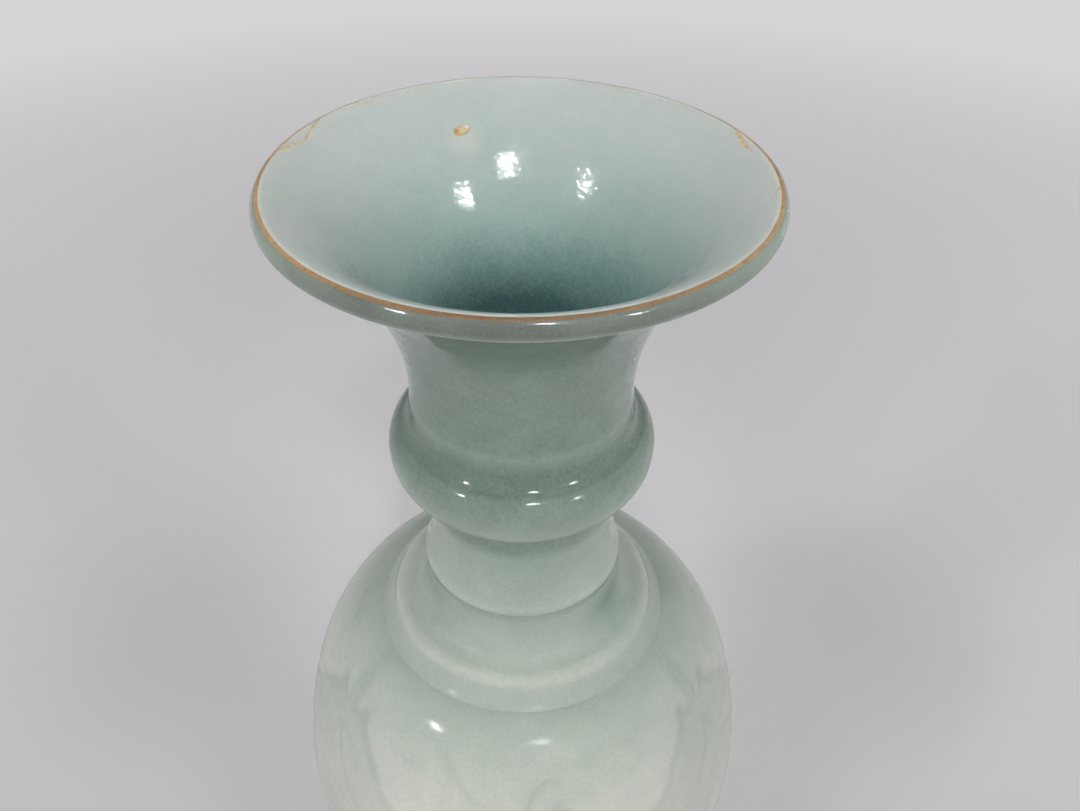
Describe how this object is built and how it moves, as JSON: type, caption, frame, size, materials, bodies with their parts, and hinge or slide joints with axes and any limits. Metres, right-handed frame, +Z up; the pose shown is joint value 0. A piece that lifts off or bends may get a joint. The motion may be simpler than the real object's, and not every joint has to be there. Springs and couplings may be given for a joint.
{
  "type": "celadon vase",
  "caption": "Celadon-glazed flower vase with a trumpet mouth edged in iron brown, a ringed neck, a beaded collar, a carved baluster body and a spreading foot.",
  "frame": {"origin": "centre of the foot's underside, on the surface the vase stands on", "axes": "+Z up along the vase's axis, from the foot to the mouth; -Y is the side the picture was taken from; +X is to the right there"},
  "size_m": [0.1288, 0.1288, 0.3092],
  "materials": {
    "celadon_glaze": "thick glossy blue-green glaze, deeper where it pools in grooves and the throat and paler over edges",
    "iron_wash": "thin iron-brown dressing, satin, worn in places"
  },
  "bodies": {
    "root": {"foot_ring": "celadon_glaze", "base_disc": "celadon_glaze", "lower_body": "celadon_glaze", "upper_body": "celadon_glaze", "collar": "celadon_glaze", "lower_neck": "celadon_glaze", "neck_ring": "celadon_glaze", "mouth_trumpet": "celadon_glaze", "rim_dressing": "iron_wash"}
  },
  "joints": []
}
